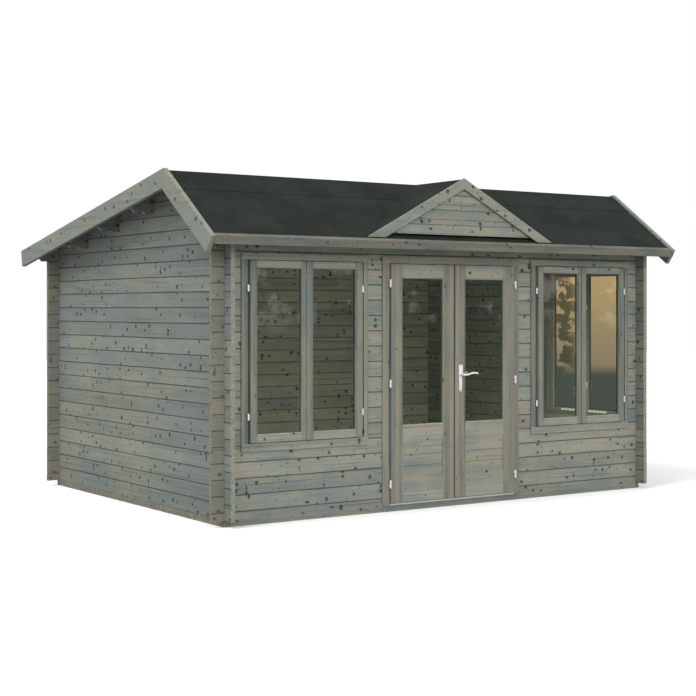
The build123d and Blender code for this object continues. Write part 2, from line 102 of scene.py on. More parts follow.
def startMaterial(name):
    material = bpy.data.materials.new(name)
    material.use_nodes = True
    tree = material.node_tree
    tree.nodes.clear()
    output = addNode(tree, "ShaderNodeOutputMaterial")
    return material, tree, output


def dress(nodeNames, material):
    for name in nodeNames:
        slots = nodes[name].data.materials
        slots.clear()
        slots.append(material)


# stained timber: u runs along the grain, v through the thickness, w across the face

timber = {
    "cool": "#79817d",
    "green": "#82867b",
    "warm": "#8d8879",
    "grain": "#4c5149",
    "knot": "#262b27",
    "halo": "#5c6158",
    "logHeight": 0.114,
    "boardShift": 37.0,          # slides the pattern along from board to board
    "knotBend": 0.007,           # how far the grain steps aside round a knot
    "knotDepth": 0.86,
    "haloDepth": 0.40,
    "jointEdge": (0.007, 0.002),
    "grainRelief": 0.8,
    "knotRelief": 0.5,
    "bumpStrength": 0.25,
    "bumpDistance": 0.002,
    "roughness": 0.78,
    "specular": 0.3,
}
smallKnots = {"pitch": 0.27, "smallest": 0.001, "largest": 0.0055, "squeeze": 0.9, "rough": 1.0,
              "haloWidth": 2.0, "share": 0.30, "rowShare": 0.7}
largeKnots = {"pitch": 0.40, "smallest": 0.006, "largest": 0.017, "squeeze": 0.45, "rough": 2.6,
              "haloWidth": 2.2, "share": 0.15, "rowShare": 1.0}
knotEdge = {"scatter": 0.9, "scale": 75.0, "detail": 3.0, "roughness": 0.7, "softness": 0.5}


def knotLayer(tree, look, place, alongU, w, row, amount):
    width = row * look["rowShare"]
    cellSpace = vector(tree, maths(tree, "DIVIDE", alongU, look["pitch"]),
                       maths(tree, "DIVIDE", w, width))
    cells = addNode(tree, "ShaderNodeTexVoronoi",
                    {"Vector": cellSpace, "Randomness": knotEdge["scatter"]},
                    {"voronoi_dimensions": "2D"})
    away = addNode(tree, "ShaderNodeVectorMath", {0: cellSpace, 1: cells.outputs["Position"]},
                   {"operation": "SUBTRACT"})
    real = addNode(tree, "ShaderNodeVectorMath",
                   {0: away.outputs[0], 1: (look["pitch"], width * look["squeeze"], 0.0)},
                   {"operation": "MULTIPLY"})
    distance = addNode(tree, "ShaderNodeVectorMath", {0: real.outputs[0]}, {"operation": "LENGTH"})
    chance = addNode(tree, "ShaderNodeSeparateColor", {"Color": cells.outputs["Color"]}).outputs
    present = maths(tree, "LESS_THAN", chance[0], amount * look["share"])
    size = add(tree, look["smallest"], times(tree, chance[1], look["largest"] - look["smallest"]))
    ragged = minus(tree, noise(tree, place, knotEdge["scale"], knotEdge["detail"],
                               knotEdge["roughness"]), 0.5)
    radius = add(tree, distance.outputs["Value"],
                 times(tree, ragged, times(tree, size, look["rough"])))
    core = times(tree, present, ease(tree, radius, size, times(tree, size, knotEdge["softness"])))
    halo = times(tree, present, ease(tree, radius, times(tree, size, look["haloWidth"]), size))
    return core, halo


def allKnots(tree, *where):
    core, halo = knotLayer(tree, smallKnots, *where)
    bigCore, bigHalo = knotLayer(tree, largeKnots, *where)
    return maths(tree, "MAXIMUM", core, bigCore), maths(tree, "MAXIMUM", halo, bigHalo)


# stain in patches across the wall and from board to board

patches = {"size": 0.75, "detail": 4.0, "from": 0.46, "to": 0.64, "boardShare": 0.12}
blotches = {"along": 1.8, "across": 6.0, "detail": 6.0, "roughness": 0.7, "from": 0.66, "to": 0.80,
            "warmShift": 0.35, "warmLeast": 0.35, "warmGain": 0.6, "toneShare": 0.45}
boardTone = {"darkest": 0.84, "spread": 0.20}


def patchyStain(tree, place, alongU, w, rowValue, shift, warmth, light):
    patch = noise(tree, place, 1 / patches["size"], patches["detail"])
    patch = add(tree, patch, times(tree, rowValue, patches["boardShare"]))
    stain = mixColours(tree, ease(tree, patch, patches["from"], patches["to"]),
                       colour(timber["cool"]), colour(timber["green"]))
    b = blotches
    stretched = vector(tree, times(tree, alongU, b["along"]), times(tree, w, b["across"]), shift)
    blotch = noise(tree, stretched, 1.0, b["detail"], b["roughness"])
    warmArea = ease(tree, blotch, b["from"] - b["warmShift"] * warmth, b["to"] - b["warmShift"] * warmth)
    warmAmount = times(tree, warmArea, b["warmLeast"] + b["warmGain"] * warmth)
    stain = mixColours(tree, warmAmount, stain, colour(timber["warm"]))
    tone = add(tree, boardTone["darkest"] * light, times(tree, rowValue, boardTone["spread"] * light))
    tone = add(tree, tone, times(tree, minus(tree, blotch, 0.5), b["toneShare"]))
    grey = addNode(tree, "ShaderNodeCombineColor", {0: tone, 1: tone, 2: tone}).outputs[0]
    return mixColours(tree, 1.0, stain, grey, "MULTIPLY")


# grain in long streaks: fine fibres, broad bands and thin lines

streaks = [
    {"along": 1.5, "across": 150.0, "detail": 5.0, "from": 0.50, "to": 0.80, "depth": 0.40},
    {"along": 0.8, "across": 24.0, "detail": 4.0, "from": 0.53, "to": 0.76, "depth": 0.45},
    {"along": 0.9, "across": 62.0, "detail": 2.0, "from": 0.58, "to": 0.70, "depth": 0.50},
]


def streakNoise(tree, look, alongU, w, v):
    stretched = vector(tree, times(tree, alongU, look["along"]), times(tree, w, look["across"]),
                       times(tree, v, look["across"]))
    return noise(tree, stretched, 1.0, look["detail"])


def addStreaks(tree, stain, alongU, w, v):
    values = [streakNoise(tree, look, alongU, w, v) for look in streaks]
    for look, value in zip(streaks, values):
        amount = times(tree, ease(tree, value, look["from"], look["to"]), look["depth"])
        stain = mixColours(tree, amount, stain, colour(timber["grain"]))
    return stain, values[0]


def addJointLines(tree, stain, cell, width, joints):
    part = maths(tree, "FRACT", cell)
    toJoint = times(tree, width, maths(tree, "MINIMUM", part, minus(tree, 1.0, part)))
    line = times(tree, ease(tree, toJoint, *timber["jointEdge"]), joints)
    return mixColours(tree, line, stain, colour(timber["knot"]))


def timberLook(tree, texture, axis, board, warmth, light=1.0, knots=0.55, joints=0.0, seed=0.0):
    place = texture.outputs["Object"]
    x, y, z = addNode(tree, "ShaderNodeSeparateXYZ", {"Vector": place}).outputs
    u, v, across = {"x": (x, y, z), "y": (y, x, z), "z": (z, y, x)}[axis]
    firstJoint, width = board
    w = minus(tree, across, firstJoint)
    cell = maths(tree, "DIVIDE", w, width)
    rowValue = addNode(tree, "ShaderNodeTexWhiteNoise",
                       {"W": add(tree, maths(tree, "FLOOR", cell), seed)},
                       {"noise_dimensions": "1D"}).outputs["Value"]
    shift = times(tree, rowValue, timber["boardShift"])
    alongU = add(tree, u, shift)
    core, halo = allKnots(tree, place, alongU, w, min(width, timber["logHeight"]), knots)
    stain = patchyStain(tree, place, alongU, w, rowValue, shift, warmth, light)
    bentW = add(tree, w, times(tree, halo, timber["knotBend"]))
    stain, fine = addStreaks(tree, stain, alongU, bentW, v)
    stain = addJointLines(tree, stain, cell, width, joints)
    stain = mixColours(tree, times(tree, halo, timber["haloDepth"]), stain, colour(timber["halo"]))
    stain = mixColours(tree, times(tree, core, timber["knotDepth"]), stain, colour(timber["knot"]))
    height = minus(tree, times(tree, fine, timber["grainRelief"]),
                   times(tree, core, timber["knotRelief"]))
    return stain, height


cutEnd = {"ringScale": 42.0, "ringDetail": 2.0, "rings": (0.40, 0.62), "facing": (0.80, 0.95),
          "depth": 0.85}


def cutEnds(tree, texture, axis, stain, pale):   # smoother and paler where the grain is cut across
    normal = addNode(tree, "ShaderNodeSeparateXYZ", {"Vector": texture.outputs["Normal"]})
    facing = maths(tree, "ABSOLUTE", normal.outputs[{"x": 0, "y": 1, "z": 2}[axis]])
    rings = noise(tree, texture.outputs["Object"], cutEnd["ringScale"], cutEnd["ringDetail"])
    ends = mixColours(tree, ease(tree, rings, *cutEnd["rings"]), colour(pale[0]), colour(pale[1]))
    amount = times(tree, ease(tree, facing, *cutEnd["facing"]), cutEnd["depth"])
    return mixColours(tree, amount, stain, ends)


def finishTimber(tree, output, stain, height):
    bump = addNode(tree, "ShaderNodeBump", {"Height": height, "Strength": timber["bumpStrength"],
                                            "Distance": timber["bumpDistance"]})
    shader = addNode(tree, "ShaderNodeBsdfPrincipled", {
        "Base Color": stain, "Normal": bump.outputs[0], "Roughness": timber["roughness"],
        "Specular IOR Level": timber["specular"]})
    tree.links.new(shader.outputs[0], output.inputs["Surface"])


logEnd = {"colour": "#6b6353", "depth": 0.45}   # browner than the wall, past the corner


def timberMaterial(name, axis, board, pale=("#6c6a5c", "#8a8472"), corner=None, **look):
    material, tree, output = startMaterial(name)
    texture = addNode(tree, "ShaderNodeTexCoord")
    stain, height = timberLook(tree, texture, axis, board, **look)
    if corner:
        place = addNode(tree, "ShaderNodeSeparateXYZ", {"Vector": texture.outputs["Object"]}).outputs
        past = maths(tree, "GREATER_THAN", maths(tree, "ABSOLUTE", place["X"]), corner)
        stain = mixColours(tree, times(tree, past, logEnd["depth"]), stain, colour(logEnd["colour"]))
    finishTimber(tree, output, cutEnds(tree, texture, axis, stain, pale), height)
    return material


# walls, roof timber and trim; each board is its first joint and its width

frontLogs = (0.102, 0.114)
endLogs = (0.045, 0.114)
wholeBoard = (0.0, 0.5)
cornerAt = 1.985

dress(["front_wall_left", "front_wall_right", "front_wall_over_door", "back_wall", "small_gable_panel"],
      timberMaterial("logsAlongTheFront", "x", frontLogs, corner=cornerAt, warmth=0.55, light=1.12,
                     joints=0.5))
dress(["left_wall", "right_wall"],
      timberMaterial("logsAtTheEnds", "y", endLogs, pale=("#7d7b6e", "#928f80"), warmth=0.25,
                     joints=0.5, seed=40.0))
dress(["foundation_beams", "small_gable_bargeboards"],
      timberMaterial("trimAlong", "x", wholeBoard, warmth=0.45, knots=0.35, seed=80.0))
# fascia boards: the trim timber made much darker (light 0.58), a painted shade that keeps them dark
# under the low front lamp
dress(["fascia_front", "fascia_rear"],
      timberMaterial("fasciaBoardsPaintedShade", "x", wholeBoard, warmth=0.75, light=0.58, knots=0.30, seed=85.0))
dress(["bargeboards_left", "bargeboards_right"],
      timberMaterial("trimAcross", "y", wholeBoard, warmth=0.05, knots=0.30, seed=90.0))
dress(["ridge_purlin", "rear_purlin_1", "rear_purlin_2", "rear_purlin_3", "floor_boards"],
      timberMaterial("roofCarpentry", "x", wholeBoard, pale=("#8d8c80", "#a5a497"), warmth=0.6,
                     seed=60.0))
dress(["roof_boards_front", "roof_boards_rear", "small_gable_boards"],
      timberMaterial("roofSarking", "y", wholeBoard, warmth=0.6, seed=70.0))


# joinery: upright grain in the stiles and level grain in the rails between them

# the rails are made lighter than the stiles: partly their own paler tone, partly painted light that
# lifts the top rails out of the shade under the eaves
joinery = {"uprightBoard": (0.0, 0.047), "uprightKnots": 0.05, "levelBoard": (0.052, 0.085),
           "levelKnots": 0.22, "levelToneAndPaintedLight": 1.30, "levelCooler": 0.05, "levelSeed": 5, "light": 0.92}
doorsAt = 0.0
frontWindowAt = 1.321
sideWindowAt = -0.883
doorRails = {"across": (0.110, 0.485), "through": [(1.861, 1.93)]}
windowRails = {"across": (0.049, 0.412), "through": [(0.5, 0.572), (1.866, 1.92)]}
stripBoard = (0.0, 0.05)


def between(tree, value, low, high):
    return times(tree, maths(tree, "GREATER_THAN", value, low), maths(tree, "LESS_THAN", value, high))


def joineryMaterial(name, axis, middle, rails, seed, warmth=0.8):
    material, tree, output = startMaterial(name)
    texture = addNode(tree, "ShaderNodeTexCoord")
    x, y, z = addNode(tree, "ShaderNodeSeparateXYZ", {"Vector": texture.outputs["Object"]}).outputs
    upright, uprightHeight = timberLook(tree, texture, "z", joinery["uprightBoard"], warmth=warmth,
                                        light=joinery["light"], knots=joinery["uprightKnots"],
                                        seed=seed)
    level, levelHeight = timberLook(tree, texture, axis, joinery["levelBoard"],
                                    warmth=warmth - joinery["levelCooler"],
                                    light=joinery["light"] * joinery["levelToneAndPaintedLight"],
                                    knots=joinery["levelKnots"], seed=seed + joinery["levelSeed"])
    side = maths(tree, "ABSOLUTE", x) if axis == "x" else y   # the front is alike on both sides
    offset = maths(tree, "ABSOLUTE", minus(tree, side, middle))
    railMask = between(tree, offset, *rails["across"])
    for low, high in rails["through"]:
        railMask = maths(tree, "MAXIMUM", railMask, between(tree, z, low, high))
    stain = mixColours(tree, railMask, upright, level)
    height = add(tree, times(tree, railMask, levelHeight),
                 times(tree, minus(tree, 1.0, railMask), uprightHeight))
    finishTimber(tree, output, stain, height)
    return material


dress(["door_frame", "left_leaf", "right_leaf"],
      joineryMaterial("doorJoinery", "x", doorsAt, doorRails, seed=20.0))
dress(["window_left_frame", "window_right_frame", "window_sashes"],
      joineryMaterial("windowJoinery", "x", frontWindowAt, windowRails, warmth=0.6, seed=24.0))
dress(["window_side_frame"],
      joineryMaterial("sideWindowJoinery", "y", sideWindowAt, windowRails, warmth=0.6, seed=28.0))
dress(["cover_strip"],
      timberMaterial("coverStrip", "z", stripBoard, warmth=0.95, knots=0.05, seed=31.0))
print("timber dressed")


# roofing felt

feltLook = {
    "dark": "#1d2220", "middle": "#242a27", "speck": "#5d6460",
    "cloudScale": 3.0, "cloudDetail": 6.0, "cloudRoughness": 0.7, "cloud": (0.38, 0.62),
    "gritScale": 240.0, "gritDetail": 3.0, "grit": (0.57, 0.72),
    "driftScale": 11.0, "driftDetail": 4.0, "driftRoughness": 0.7, "drift": (0.40, 0.68),
    "fewestSpecks": 0.18, "moreSpecks": 0.45,
    "bumpStrength": 0.5, "bumpDistance": 0.002, "roughness": 0.92, "specular": 0.15,
}


def feltMaterial():
    f = feltLook
    material, tree, output = startMaterial("mineralFelt")
    place = addNode(tree, "ShaderNodeTexCoord").outputs["Object"]
    cloud = noise(tree, place, f["cloudScale"], f["cloudDetail"], f["cloudRoughness"])
    base = mixColours(tree, ease(tree, cloud, *f["cloud"]), colour(f["dark"]), colour(f["middle"]))
    grit = noise(tree, place, f["gritScale"], f["gritDetail"])
    drift = noise(tree, place, f["driftScale"], f["driftDetail"], f["driftRoughness"])
    amount = add(tree, f["fewestSpecks"], times(tree, ease(tree, drift, *f["drift"]), f["moreSpecks"]))
    base = mixColours(tree, times(tree, ease(tree, grit, *f["grit"]), amount), base, colour(f["speck"]))
    bump = addNode(tree, "ShaderNodeBump", {"Height": grit, "Strength": f["bumpStrength"],
                                            "Distance": f["bumpDistance"]})
    shader = addNode(tree, "ShaderNodeBsdfPrincipled", {
        "Base Color": base, "Normal": bump.outputs[0], "Roughness": f["roughness"],
        "Specular IOR Level": f["specular"]})
    tree.links.new(shader.outputs[0], output.inputs["Surface"])
    return material


dress(["roof_felt_front", "roof_felt_rear", "roof_felt_ridge", "small_gable_felt"], feltMaterial())
print("roof dressed")


# glass and metal

glassLook = {"tint": "#eef0ea", "roughness": 0.01, "ior": 1.45, "bothFaces": 1.8}
metalLook = {"smudgeScale": 90.0, "smudgeDetail": 3.0, "smudge": "#8d9193", "smudgeDepth": 0.20,
             "polishLess": 0.06, "polishMore": 0.10}


def glassMaterial():   # the pane's front face reflects for both faces, and its back face is clear
    material, tree, output = startMaterial("windowGlass")
    clear = addNode(tree, "ShaderNodeBsdfTransparent", {"Color": colour(glassLook["tint"])})
    shine = addNode(tree, "ShaderNodeBsdfGlossy", {"Color": (1, 1, 1, 1),
                                                   "Roughness": glassLook["roughness"]})
    facing = addNode(tree, "ShaderNodeFresnel", {"IOR": glassLook["ior"]})
    back = addNode(tree, "ShaderNodeNewGeometry").outputs["Backfacing"]
    front = times(tree, minus(tree, 1.0, back), glassLook["bothFaces"])
    mixed = addNode(tree, "ShaderNodeMixShader", {0: times(tree, facing.outputs[0], front),
                                                  1: clear.outputs[0], 2: shine.outputs[0]})
    tree.links.new(mixed.outputs[0], output.inputs["Surface"])
    return material


def metalMaterial(name, code, roughness, metallic):
    m = metalLook
    material, tree, output = startMaterial(name)
    place = addNode(tree, "ShaderNodeTexCoord").outputs["Object"]
    smudge = noise(tree, place, m["smudgeScale"], m["smudgeDetail"])
    tone = mixColours(tree, times(tree, smudge, m["smudgeDepth"]), colour(code), colour(m["smudge"]))
    polish = addNode(tree, "ShaderNodeMapRange", {"Value": smudge, "To Min": roughness - m["polishLess"],
                                                  "To Max": roughness + m["polishMore"]})
    shader = addNode(tree, "ShaderNodeBsdfPrincipled", {"Base Color": tone, "Metallic": metallic,
                                                        "Roughness": polish.outputs[0]})
    tree.links.new(shader.outputs[0], output.inputs["Surface"])
    return material


silver = metalMaterial("silverFittings", "#f4f5f4", roughness=0.35, metallic=0.15)
dress(["window_glass", "left_leaf_glass", "right_leaf_glass"], glassMaterial())
dress(["frame_hinges", "left_leaf_hinges", "right_leaf_hinges", "window_fittings", "lock_plates",
       "lever_handle"], silver)
dress(["door_threshold"], metalMaterial("brushedThreshold", "#e2e4e4", roughness=0.38, metallic=0.3))
rubber = metalMaterial("darkGasket", "#2b2d2a", roughness=0.6, metallic=0.0)
steel = metalMaterial("screwSteel", "#9a9c98", roughness=0.4, metallic=0.6)
print("glass and metal dressed")


# helpers for the pieces

standing = (0, 0, 0)   # a disc's axis points up, or to the front
flat = (math.radians(90), 0, 0)


def startFresh():
    bpy.ops.object.select_all(action="DESELECT")


def addBlock(low, high):
    bpy.ops.mesh.primitive_cube_add(size=1, location=[(a + b) / 2 for a, b in zip(low, high)])
    block = bpy.context.object
    block.scale = [b - a for a, b in zip(low, high)]
    return block


def addDisc(place, radius, depth, turn, sides):
    bpy.ops.mesh.primitive_cylinder_add(vertices=sides, radius=radius, depth=depth, location=place,
                                        rotation=turn)
    return bpy.context.object


def makePiece(name, blocks, body, material, rounding, segments=2):
    startFresh()
    for block in blocks:
        block.select_set(True)
    bpy.context.view_layer.objects.active = blocks[0]
    if len(blocks) > 1:
        bpy.ops.object.join()
    piece = bpy.context.object
    bpy.ops.object.transform_apply(location=True, rotation=True, scale=True)
    bpy.ops.object.modifier_add(type="BEVEL")
    bevel = piece.modifiers[-1]
    bevel.width = rounding
    bevel.segments = segments
    bevel.limit_method = "ANGLE"
    bpy.ops.object.modifier_apply(modifier=bevel.name)
    piece.name = name
    piece.data.materials.clear()
    piece.data.materials.append(material)
    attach(piece, body)
    return piece


# windows: where they stand, and blocks placed in a window's own directions

windowSpots = [("front", -frontWindowAt), ("front", frontWindowAt), ("side", sideWindowAt)]
windowLook = {"frontFace": -1.547, "sideFace": 1.985, "paneFace": -0.009, "sashBack": 0.012,
              "panes": [(-0.412, -0.0495), (0.0495, 0.412)], "heights": (0.637, 1.807),
              "fittingsRounding": 0.0012}


def inWindow(spot, across, inward, height):
    side, centre = spot
    if side == "front":
        return centre + across, windowLook["frontFace"] + inward, height
    return windowLook["sideFace"] - inward, centre + across, height


def addWindowBlock(spot, low, high):
    corners = [inWindow(spot, *low), inWindow(spot, *high)]
    return addBlock([min(pair) for pair in zip(*corners)], [max(pair) for pair in zip(*corners)])


# glazing gaskets, in the corner between the pane and the rails on the outer face

gasket = {"width": 0.003, "depth": 0.003, "doorPane": (0.110, 0.485), "doorHeights": (0.648, 1.745),
          "doorPaneFace": -1.557, "rounding": 0.0006, "segments": 1}


def ringBlocks(x0, x1, z0, z1, face):
    g = gasket["width"]
    near = face - gasket["depth"]
    return [((x0, near, z0), (x0 + g, face, z1)), ((x1 - g, near, z0), (x1, face, z1)),
            ((x0 + g, near, z0), (x1 - g, face, z0 + g)), ((x0 + g, near, z1 - g), (x1 - g, face, z1))]


def makeGasket(name, strips, body):
    makePiece(name, strips, body, rubber, gasket["rounding"], gasket["segments"])


def makeGaskets():
    startFresh()
    strips = []
    for spot in windowSpots:
        for x0, x1 in windowLook["panes"]:
            ring = ringBlocks(x0, x1, *windowLook["heights"], windowLook["paneFace"])
            strips += [addWindowBlock(spot, low, high) for low, high in ring]
    makeGasket("windowGaskets", strips, "house")
    a, b = gasket["doorPane"]
    for name, body, x0, x1 in (("leftDoorGasket", "left_door", -b, -a),
                               ("rightDoorGasket", "right_door", a, b)):
        startFresh()
        ring = ringBlocks(x0, x1, *gasket["doorHeights"], gasket["doorPaneFace"])
        makeGasket(name, [addBlock(low, high) for low, high in ring], body)


makeGaskets()
print("gaskets made")


# window hinges, outside: a barrel with a collar, and a plate against the sash

windowHinges = {"across": 0.482, "out": -0.018, "heights": [0.760, 1.665], "length": 0.050,
                "radius": 0.006, "collarLength": 0.003, "collarLip": 0.0008, "sides": 24,
                "plateInner": 0.013, "plateOuter": 0.002, "plateFaces": (0.002, 0.005),
                "plateHalf": 0.02}


def windowHinge(spot, side, height):
    h = windowHinges
    place = inWindow(spot, side * h["across"], h["out"], height)
    barrel = addDisc(place, h["radius"], h["length"], standing, h["sides"])
    collar = addDisc(place, h["radius"] + h["collarLip"], h["collarLength"], standing, h["sides"])
    across = sorted([side * (h["across"] - h["plateInner"]), side * (h["across"] + h["plateOuter"])])
    near, far = h["plateFaces"]
    plate = addWindowBlock(spot, (across[0], h["out"] + near, height - h["plateHalf"]),
                           (across[1], h["out"] + far, height + h["plateHalf"]))
    return [barrel, collar, plate]


# window handles, inside: a grip on a post, and the post's foot on the sash

windowHandles = {"across": -0.028, "depth": 0.030, "heights": [0.845, 1.531], "length": 0.088,
                 "width": 0.010, "thickness": 0.010, "postHalf": 0.005, "postInset": 0.004,
                 "footHalf": (0.008, 0.024), "footThickness": 0.008}


def windowHandle(spot, z):
    h = windowHandles
    x, half, wide, post = h["across"], h["length"] / 2, h["width"] / 2, h["postHalf"]
    back = windowLook["sashBack"]
    deep = back + h["depth"]
    footX, footZ = h["footHalf"]
    return [addWindowBlock(spot, (x - wide, deep - h["thickness"], z - half),
                           (x + wide, deep, z + half)),
            addWindowBlock(spot, (x - post, back, z - post),
                           (x + post, deep - h["postInset"], z + post)),
            addWindowBlock(spot, (x - footX, back, z - footZ),
                           (x + footX, back + h["footThickness"], z + footZ))]


# window stays, inside at the foot of each sash: a flat bar on pegs

windowStays = {"from": 0.06, "length": 0.24, "height": 0.618, "pegs": 5, "barFaces": (0.010, 0.014),
               "barHalf": 0.006, "pegHalf": (0.005, 0.010), "pegDepth": 0.018}


def windowStay(spot, side):
    s = windowStays
    ends = sorted([side * s["from"], side * (s["from"] + s["length"])])
    z, back = s["height"], windowLook["sashBack"]
    near, far = s["barFaces"]
    pegX, pegZ = s["pegHalf"]
    blocks = [addWindowBlock(spot, (ends[0], back + near, z - s["barHalf"]),
                             (ends[1], back + far, z + s["barHalf"]))]
    for k in range(s["pegs"]):
        x = ends[0] + (k + 0.5) * s["length"] / s["pegs"]
        blocks.append(addWindowBlock(spot, (x - pegX, back, z - pegZ),
                                     (x + pegX, back + s["pegDepth"], z + pegZ)))
    return blocks


def makeWindowFittings():
    startFresh()
    blocks = []
    for spot in windowSpots:
        for side in (-1, 1):
            for height in windowHinges["heights"]:
                blocks += windowHinge(spot, side, height)
            blocks += windowStay(spot, side)
        for height in windowHandles["heights"]:
            blocks += windowHandle(spot, height)
    piece = makePiece("windowIronwork", blocks, "house", silver,
                      windowLook["fittingsRounding"])
    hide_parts("window_fittings")


makeWindowFittings()
print("window fittings made")


# door hinges: two barrels each on one line, with studs into the leaf and the frame

hinge = {"x": 0.603, "y": -1.583, "heights": [0.209, 0.9595, 1.710], "radius": 0.007, "half": 0.028,
         "gap": 0.0008, "stud": 0.0035, "leafStud": 0.021, "leafStudTurn": 45, "frameStud": 0.028,
         "studSides": 14, "cap": 0.003, "capShare": 0.7, "sides": 28, "rounding": 0.001}


def hingeHalf(side, height, upper):
    h = hinge
    way = 1 if upper else -1
    x, y = side * h["x"], h["y"]
    z = height + way * (h["gap"] + h["half"]) / 2
    capZ = z + way * (h["half"] + h["cap"]) / 2
    barrel = addDisc((x, y, z), h["radius"], h["half"], standing, h["sides"])
    cap = addDisc((x, y, capZ), h["radius"] * h["capShare"], h["cap"], standing, h["sides"])
    if upper:
        turn = math.radians(h["leafStudTurn"])
        reach = h["leafStud"] / 2 * math.sin(turn)
        stud = addDisc((x - side * reach, y + reach, z), h["stud"], h["leafStud"],
                       (flat[0], 0, turn * side), h["studSides"])
    else:
        stud = addDisc((x, y + h["frameStud"] / 2, z), h["stud"], h["frameStud"], flat,
                       h["studSides"])
    return [barrel, cap, stud]


def hingeHalves(sides, upper):
    blocks = []
    for side in sides:
        for height in hinge["heights"]:
            blocks += hingeHalf(side, height, upper)
    return blocks


def makeDoorHinges():
    for name, body, node, sides, upper in (
            ("leftDoorBarrels", "left_door", "left_leaf_hinges", [-1], True),
            ("rightDoorBarrels", "right_door", "right_leaf_hinges", [1], True),
            ("frameBarrels", "house", "frame_hinges", [-1, 1], False)):
        startFresh()
        piece = makePiece(name, hingeHalves(sides, upper), body, silver, hinge["rounding"])
        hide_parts(node)


makeDoorHinges()
print("door hinges made")


# screws in the door and window frames and the lock plate, and nails in the fascia

screws = {"head": 0.0042, "depth": 0.0016, "sides": 14, "rounding": 0.0005,
          "frameFace": -1.559, "jamb": 0.640, "jambHeights": [0.20, 0.55, 0.92, 1.28, 1.64],
          "windowEdge": 0.514, "windowHeights": [0.60, 0.92, 1.22, 1.52, 1.83],
          "plateFace": -1.581, "plateCentre": 0.059, "plateHeights": [0.892, 1.076],
          "fasciaFace": -1.770, "fasciaHeight": 2.001, "fasciaReach": 2.1, "fasciaCount": 9}


def makeScrewHeads(name, places, body):
    s = screws
    startFresh()
    heads = [addDisc(place, s["head"], s["depth"], flat, s["sides"]) for place in places]
    makePiece(name, heads, body, steel, s["rounding"])


def makeScrews():
    s = screws
    places = [(side * s["jamb"], s["frameFace"], z) for side in (-1, 1) for z in s["jambHeights"]]
    for side, centre in windowSpots:
        if side == "front":
            places += [(centre + edge * s["windowEdge"], s["frameFace"], z)
                       for edge in (-1, 1) for z in s["windowHeights"]]
    makeScrewHeads("frameScrews", places, "house")
    places = [(s["plateCentre"], s["plateFace"], z) for z in s["plateHeights"]]
    makeScrewHeads("plateScrews", places, "right_door")
    steps = [2 * k / (s["fasciaCount"] - 1) - 1 for k in range(s["fasciaCount"])]   # -1 to 1
    places = [(s["fasciaReach"] * step, s["fasciaFace"], s["fasciaHeight"]) for step in steps]
    makeScrewHeads("fasciaNails", places, "house")


makeScrews()
print("screws made")


# lock cylinder under the lever

cylinder = {"place": (0.059, -1.580, 0.930), "radius": 0.0075, "depth": 0.006, "sides": 24,
            "rounding": 0.0008, "slot": (0.0012, 0.0045), "slotFaces": (0.0004, 0.0006),
            "slotRounding": 0.0003}


def makeLockCylinder():
    c = cylinder
    x, y, z = c["place"]
    wide, tall = c["slot"]
    out, into = c["slotFaces"]
    startFresh()
    barrel = addDisc((x, y, z), c["radius"], c["depth"], flat, c["sides"])
    makePiece("lockCylinder", [barrel], "right_door", silver, c["rounding"])
    front = y - c["depth"] / 2
    startFresh()
    slit = addBlock((x - wide, front - out, z - tall), (x + wide, front + into, z + tall))
    makePiece("keySlot", [slit], "right_door", rubber, c["slotRounding"])


makeLockCylinder()
print("lock cylinder made")


# light paths: 1 where the camera looks through a pane, 0 elsewhere


def behindGlass(tree, path):
    return times(tree, path["Is Camera Ray"],
                 maths(tree, "GREATER_THAN", path["Transparent Depth"], 0.5))


# the world: an evening sky with a tree in it, above dark ground, seen through the room

evening = {"low": "#a08c7c", "high": "#c9a984", "sky": (-0.04, 0.02), "leaf": "#3c4038",
           "leafScale": 130.0, "leafDetail": 4.0, "leafRoughness": 0.65, "leaves": (0.44, 0.52),
           "treeSide": (0.674, 0.664), "leafDepth": 0.85, "ground": "#4e5457",
           "horizon": (-0.036, -0.046), "strength": 1.5}


def eveningColour(tree, direction, across, height):
    e = evening
    sky = mixColours(tree, ease(tree, height, *e["sky"]), colour(e["low"]), colour(e["high"]))
    mottle = noise(tree, direction, e["leafScale"], e["leafDetail"], e["leafRoughness"])
    leaves = times(tree, ease(tree, mottle, *e["leaves"]), ease(tree, across, *e["treeSide"]))
    sky = mixColours(tree, times(tree, leaves, e["leafDepth"]), sky, colour(e["leaf"]))
    return mixColours(tree, ease(tree, height, *e["horizon"]), sky, colour(e["ground"]))


# and a dim garden with bright gaps between the leaves, mirrored in the panes

garden = {"dark": "#3a3b34", "bright": "#c9c9c0", "high": "#8c8d88", "gapScale": 55.0,
          "gapDetail": 6.0, "gapRoughness": 0.6, "gaps": (0.52, 0.62), "treeTops": (-0.02, 0.0),
          "sky": (0.05, 0.25), "strength": 2.0}


def gardenColour(tree, direction, height):
    g = garden
    mottle = noise(tree, direction, g["gapScale"], g["gapDetail"], g["gapRoughness"])
    gaps = times(tree, ease(tree, mottle, *g["gaps"]), ease(tree, height, *g["treeTops"]))
    low = mixColours(tree, gaps, colour(g["dark"]), colour(g["bright"]))
    return mixColours(tree, ease(tree, height, *g["sky"]), low, colour(g["high"]))


